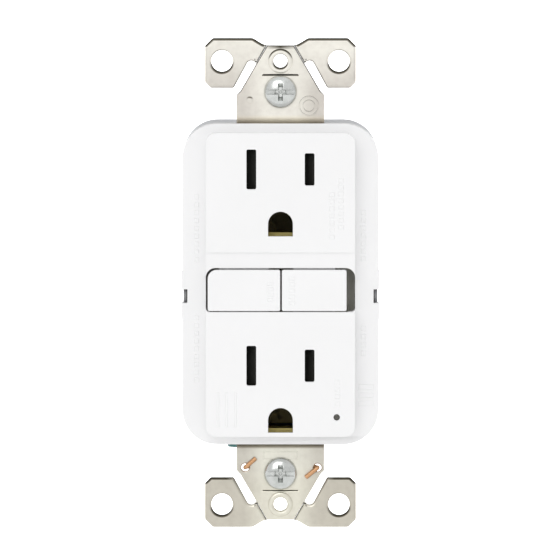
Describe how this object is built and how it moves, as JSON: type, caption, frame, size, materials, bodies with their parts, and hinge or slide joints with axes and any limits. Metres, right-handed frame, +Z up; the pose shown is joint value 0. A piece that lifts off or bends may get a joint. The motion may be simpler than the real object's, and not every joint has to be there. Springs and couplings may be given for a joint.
{
  "type": "duplex ground-fault receptacle",
  "caption": "Duplex wall receptacle with a test button and a reset button, blade slots with shutters, ground holes and a metal mounting strap.",
  "frame": {"origin": "midway between the two wall-plate screw holes, on the back plane of the strap's ears", "axes": "+X across the face to the hot side, +Y into the wall, +Z up along the strap; the face looks along -Y"},
  "size_m": [0.0432, 0.0371, 0.1068],
  "materials": {
    "white_plastic": "white thermoplastic",
    "grey_plastic": "light grey thermoplastic",
    "dark_plastic": "dark thermoplastic",
    "olive_grey_plastic": "grey thermoplastic",
    "bright_steel": "zinc-plated steel",
    "zinc_plated_steel": "galvanised steel sheet",
    "brass": "brass",
    "bronze": "phosphor bronze",
    "green_screw": "green-dyed zinc-plated steel",
    "circuit_laminate": "glass-epoxy laminate",
    "copper": "enamelled copper",
    "ferrite": "ferrite",
    "component_blue": "blue epoxy coating",
    "component_tan": "coated components",
    "clear_plastic": "clear acrylic"
  },
  "bodies": {
    "device": {"cover": "white_plastic", "rear_housing": "grey_plastic", "contact_frame": "olive_grey_plastic", "housing_screws": "bright_steel", "mounting_strap": "zinc_plated_steel", "self_grounding_clip": "bronze", "ground_contact_upper": "brass", "ground_contact_lower": "brass", "ground_contact_rivets": "brass", "ground_terminal": "brass", "hot_contact_strip": "brass", "neutral_contact_strip": "brass", "line_hot_terminal": "brass", "line_neutral_terminal": "brass", "test_spring": "bright_steel", "reset_spring": "bright_steel", "shutter_carrier_upper": "dark_plastic", "shutter_carrier_lower": "dark_plastic", "shutter_spring_upper": "bright_steel", "shutter_spring_lower": "bright_steel", "circuit_board": "circuit_laminate", "solenoid_bobbin": "dark_plastic", "solenoid_winding": "copper", "solenoid_frame": "bright_steel", "plunger_spring": "bright_steel", "sensor_case": "dark_plastic", "sense_toroid": "copper", "neutral_toroid": "ferrite", "surge_varistor": "component_blue", "controller_chip": "dark_plastic", "board_components": "component_tan", "indicator_led": "clear_plastic", "indicator_light_pipe": "clear_plastic"},
    "test_button_body": {"test_button": "white_plastic"},
    "reset_button_body": {"reset_button": "white_plastic", "reset_pin": "bright_steel"},
    "test_leaf_body": {"test_contact_leaf": "bronze"},
    "shutter_upper_body": {"shutter_upper": "dark_plastic"},
    "shutter_lower_body": {"shutter_lower": "dark_plastic"},
    "plunger_body": {"solenoid_plunger": "bright_steel"},
    "lifter_body": {"contact_lifter": "dark_plastic"},
    "latch_body": {"latch_plate": "bright_steel"},
    "hot_arm_body": {"hot_contact_arm": "bronze"},
    "neutral_arm_body": {"neutral_contact_arm": "bronze"},
    "load_hot_clamp_body": {"load_hot_clamp": "bright_steel"},
    "load_hot_screw_body": {"load_hot_screw": "brass"},
    "load_neutral_clamp_body": {"load_neutral_clamp": "bright_steel"},
    "load_neutral_screw_body": {"load_neutral_screw": "bright_steel"},
    "line_hot_clamp_body": {"line_hot_clamp": "bright_steel"},
    "line_hot_screw_body": {"line_hot_screw": "brass"},
    "line_neutral_clamp_body": {"line_neutral_clamp": "bright_steel"},
    "line_neutral_screw_body": {"line_neutral_screw": "bright_steel"},
    "ground_screw_body": {"ground_screw": "green_screw"},
    "upper_mounting_screw_body": {"upper_mounting_screw": "bright_steel"},
    "lower_mounting_screw_body": {"lower_mounting_screw": "bright_steel"}
  },
  "joints": [
    {"name": "test_button_press", "type": "slide", "parent": "device", "child": "test_button_body", "axis": [0, 1, 0], "range_m": [0, 0.0015], "stiffness_N_per_m": 900, "springref_m": -0.0006, "deforming": ["test_spring"]},
    {"name": "reset_button_press", "type": "slide", "parent": "device", "child": "reset_button_body", "axis": [0, 1, 0], "range_m": [0, 0.0025], "stiffness_N_per_m": 900, "springref_m": -0.0006, "deforming": ["reset_spring"]},
    {"name": "test_leaf_flex", "type": "hinge", "parent": "device", "child": "test_leaf_body", "pos_m": [-0.007, 0.0055, -0.00925], "axis": [-1, 0, 0], "range_deg": [0, 12]},
    {"name": "shutter_upper_slide", "type": "slide", "parent": "device", "child": "shutter_upper_body", "axis": [1, 0, 0], "range_m": [0, 0.0029], "stiffness_N_per_m": 150, "springref_m": -0.001, "deforming": ["shutter_spring_upper"]},
    {"name": "shutter_lower_slide", "type": "slide", "parent": "device", "child": "shutter_lower_body", "axis": [1, 0, 0], "range_m": [0, 0.0029], "stiffness_N_per_m": 150, "springref_m": -0.001, "deforming": ["shutter_spring_lower"]},
    {"name": "plunger_slide", "type": "slide", "parent": "device", "child": "plunger_body", "axis": [0, 0, -1], "range_m": [0, 0.0018], "stiffness_N_per_m": 400, "springref_m": -0.0006, "deforming": ["plunger_spring"]},
    {"name": "lifter_slide", "type": "slide", "parent": "device", "child": "lifter_body", "axis": [0, -1, 0], "range_m": [0, 0.0012], "stiffness_N_per_m": 900, "springref_m": -0.0005},
    {"name": "latch_slide", "type": "slide", "parent": "lifter_body", "child": "latch_body", "axis": [0, 0, -1], "range_m": [0, 0.0018]},
    {"name": "hot_arm_flex", "type": "hinge", "parent": "device", "child": "hot_arm_body", "pos_m": [0.01, 0.0172, -0.0104], "axis": [1, 0, 0], "range_deg": [0, 7.5]},
    {"name": "neutral_arm_flex", "type": "hinge", "parent": "device", "child": "neutral_arm_body", "pos_m": [-0.01, 0.0172, -0.0104], "axis": [1, 0, 0], "range_deg": [0, 7.5]},
    {"name": "load_hot_clamp_travel", "type": "slide", "parent": "device", "child": "load_hot_clamp_body", "axis": [1, 0, 0], "range_m": [0, 0.0024]},
    {"name": "load_hot_screw_turn", "type": "hinge", "parent": "load_hot_clamp_body", "child": "load_hot_screw_body", "pos_m": [0.0175, 0.017, 0.0195], "axis": [1, 0, 0], "range_deg": [0, 1080]},
    {"name": "load_neutral_clamp_travel", "type": "slide", "parent": "device", "child": "load_neutral_clamp_body", "axis": [-1, 0, 0], "range_m": [0, 0.0024]},
    {"name": "load_neutral_screw_turn", "type": "hinge", "parent": "load_neutral_clamp_body", "child": "load_neutral_screw_body", "pos_m": [-0.0175, 0.017, 0.0195], "axis": [-1, 0, 0], "range_deg": [0, 1080]},
    {"name": "line_hot_clamp_travel", "type": "slide", "parent": "device", "child": "line_hot_clamp_body", "axis": [1, 0, 0], "range_m": [0, 0.0024]},
    {"name": "line_hot_screw_turn", "type": "hinge", "parent": "line_hot_clamp_body", "child": "line_hot_screw_body", "pos_m": [0.0175, 0.017, -0.0195], "axis": [1, 0, 0], "range_deg": [0, 1080]},
    {"name": "line_neutral_clamp_travel", "type": "slide", "parent": "device", "child": "line_neutral_clamp_body", "axis": [-1, 0, 0], "range_m": [0, 0.0024]},
    {"name": "line_neutral_screw_turn", "type": "hinge", "parent": "line_neutral_clamp_body", "child": "line_neutral_screw_body", "pos_m": [-0.0175, 0.017, -0.0195], "axis": [-1, 0, 0], "range_deg": [0, 1080]},
    {"name": "ground_screw_travel", "type": "slide", "parent": "device", "child": "ground_screw_body", "axis": [0, 0, -1], "range_m": [0, 0.003]},
    {"name": "upper_mounting_screw_turn", "type": "hinge", "parent": "device", "child": "upper_mounting_screw_body", "pos_m": [0, 0, 0.04167], "axis": [0, -1, 0], "continuous": true},
    {"name": "lower_mounting_screw_turn", "type": "hinge", "parent": "device", "child": "lower_mounting_screw_body", "pos_m": [0, 0, -0.04167], "axis": [0, -1, 0], "continuous": true}
  ],
  "couplings": [
    {"joint": "test_leaf_flex", "follows": "test_button_press", "rad_per_m": 136},
    {"joint": "latch_slide", "follows": "plunger_slide", "ratio": 1},
    {"joint": "hot_arm_flex", "follows": "lifter_slide", "rad_per_m": 107},
    {"joint": "neutral_arm_flex", "follows": "lifter_slide", "rad_per_m": 107},
    {"joint": "load_hot_clamp_travel", "follows": "load_hot_screw_turn", "m_per_rad": 0.00012633},
    {"joint": "load_neutral_clamp_travel", "follows": "load_neutral_screw_turn", "m_per_rad": 0.00012633},
    {"joint": "line_hot_clamp_travel", "follows": "line_hot_screw_turn", "m_per_rad": 0.00012633},
    {"joint": "line_neutral_clamp_travel", "follows": "line_neutral_screw_turn", "m_per_rad": 0.00012633}
  ]
}
